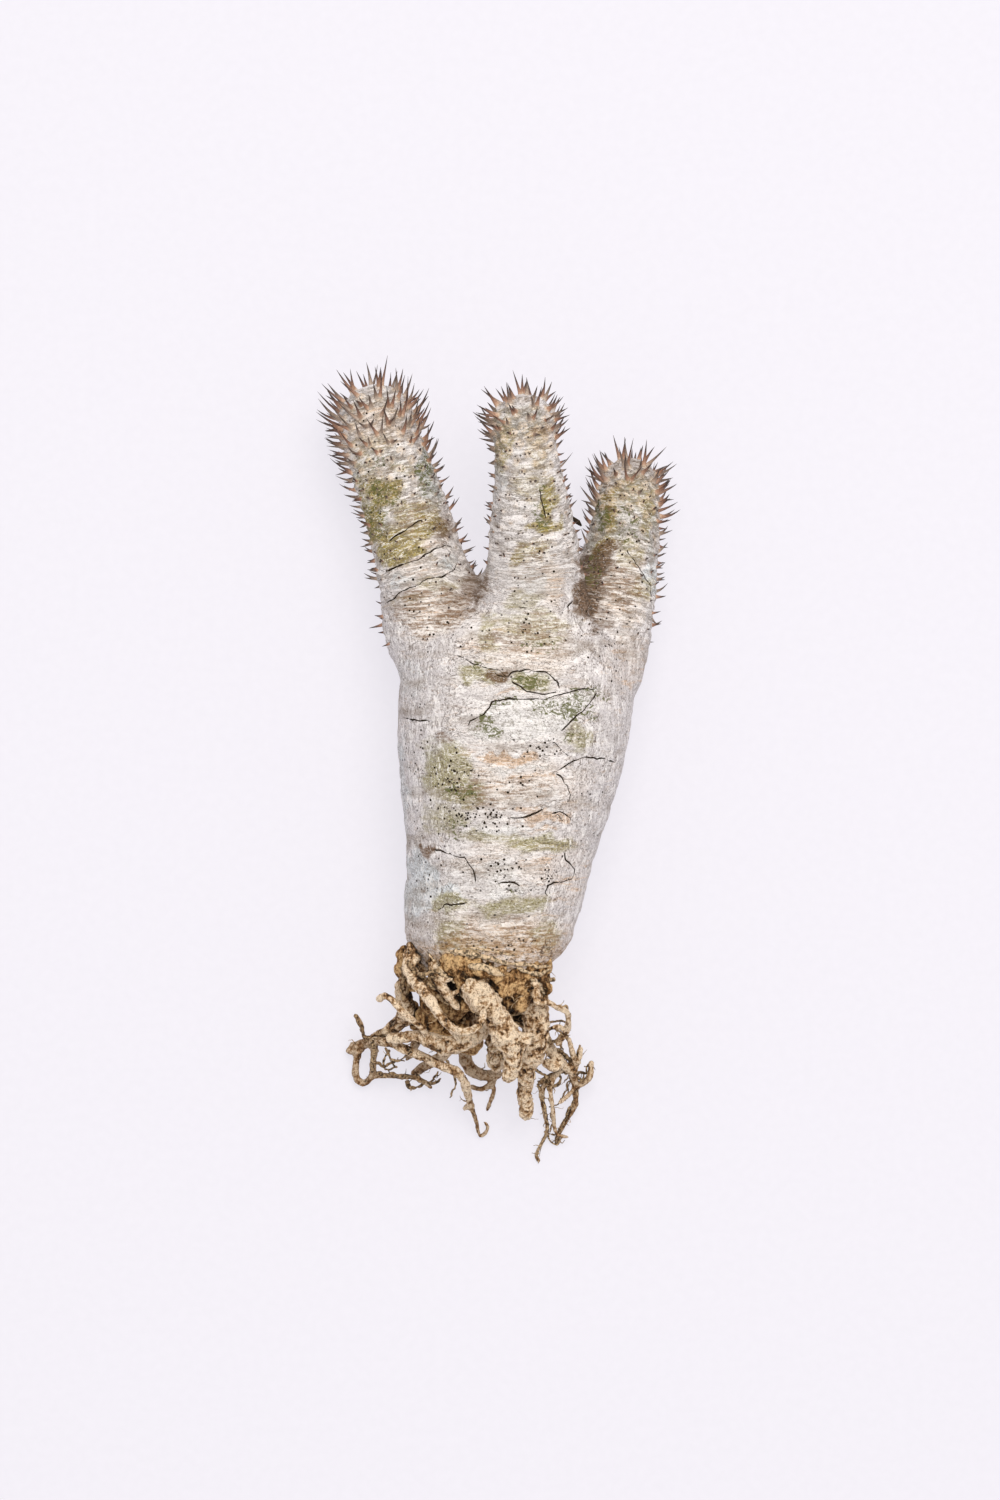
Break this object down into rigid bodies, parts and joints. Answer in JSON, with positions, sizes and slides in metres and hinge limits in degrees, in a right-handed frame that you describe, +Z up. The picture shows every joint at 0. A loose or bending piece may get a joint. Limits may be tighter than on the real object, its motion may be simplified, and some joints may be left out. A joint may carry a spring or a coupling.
{
  "type": "bare-root pachypodium plant",
  "caption": "Leafless bare-root succulent lying on its side: swollen grey trunk, upright spiny branches at one end and a tangle of woody roots at the other.",
  "frame": {"origin": "centre of the footprint's bounding rectangle, on the surface the plant lies on", "axes": "+Z up from the surface, +Y from the roots towards the growing tips, +X to the right seen from above with the tips away from the viewer"},
  "size_m": [0.1148, 0.2596, 0.0721],
  "materials": {
    "bark": "matt silvery grey bark with fine wrinkles",
    "root_crown_wood": "rough fibrous orange-brown",
    "root_skin": "matt, knobbly, earthy tan",
    "spine": "smooth dry horn, brown with dark tips"
  },
  "bodies": {
    "root": {"branch_left": "bark", "branch_middle": "bark", "branch_right": "bark", "caudex": "bark", "root_back_left": "root_skin", "root_back_middle": "root_skin", "root_cross_root": "root_skin", "root_crown": "root_crown_wood", "root_front_taproot": "root_skin", "root_left_anchor": "root_skin", "root_left_diagonal": "root_skin", "root_left_loop": "root_skin", "root_left_stub": "root_skin", "root_right_arch": "root_skin", "root_right_runner": "root_skin", "root_right_taproot": "root_skin", "root_right_trailing": "root_skin", "root_surface_middle": "root_skin", "root_under_left": "root_skin", "root_under_middle": "root_skin", "root_under_right": "root_skin", "spine_left_01": "spine", "spine_left_02": "spine", "spine_left_03": "spine", "spine_left_04": "spine", "spine_left_05": "spine", "spine_left_06": "spine", "spine_left_07": "spine", "spine_left_08": "spine", "spine_left_09": "spine", "spine_left_10": "spine", "spine_left_11": "spine", "spine_left_12": "spine", "spine_middle_01": "spine", "spine_middle_02": "spine", "spine_middle_03": "spine", "spine_middle_04": "spine", "spine_middle_05": "spine", "spine_middle_06": "spine", "spine_middle_07": "spine", "spine_middle_08": "spine", "spine_middle_09": "spine", "spine_middle_10": "spine", "spine_middle_11": "spine", "spine_middle_12": "spine", "spine_right_01": "spine", "spine_right_02": "spine", "spine_right_03": "spine", "spine_right_04": "spine", "spine_right_05": "spine", "spine_right_06": "spine", "spine_right_07": "spine", "spine_right_08": "spine", "spine_right_09": "spine", "spine_right_10": "spine", "spine_right_11": "spine", "spine_right_12": "spine"}
  },
  "joints": []
}
